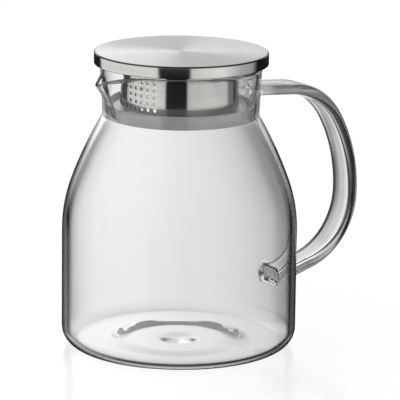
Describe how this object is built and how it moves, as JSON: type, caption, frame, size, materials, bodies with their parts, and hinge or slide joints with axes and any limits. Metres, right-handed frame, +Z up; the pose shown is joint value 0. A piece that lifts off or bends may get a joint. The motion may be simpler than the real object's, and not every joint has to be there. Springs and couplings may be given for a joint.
{
  "type": "glass teapot",
  "caption": "Clear glass teapot with a pulled spout, a fused ribbon handle and a brushed steel lid whose perforated sleeve strains the tea inside a silicone ring.",
  "frame": {"origin": "on the pot's upright axis, at the surface that the foot ring stands on", "axes": "+Z up, handle towards +X, spout towards -X; the pot is the same on both sides of the XZ plane"},
  "size_m": [0.196, 0.14, 0.1774],
  "materials": {
    "glass": "clear, fire polished",
    "brushed_steel": "circular brushed",
    "silicone": "translucent, satin"
  },
  "bodies": {
    "vessel": {"glass_body": "glass", "glass_handle": "glass"},
    "seal": {"silicone_seal": "silicone"},
    "lid": {"lid_cap": "brushed_steel", "lid_underplate": "brushed_steel", "strainer_sleeve": "brushed_steel"}
  },
  "joints": [
    {"name": "lid_lift", "type": "slide", "parent": "vessel", "child": "seal", "axis": [0, 0, 1], "range_m": [0, 0.05]},
    {"name": "lid_turn", "type": "hinge", "parent": "seal", "child": "lid", "pos_m": [0, 0, 0.1426], "axis": [0, 0, 1], "continuous": true}
  ]
}
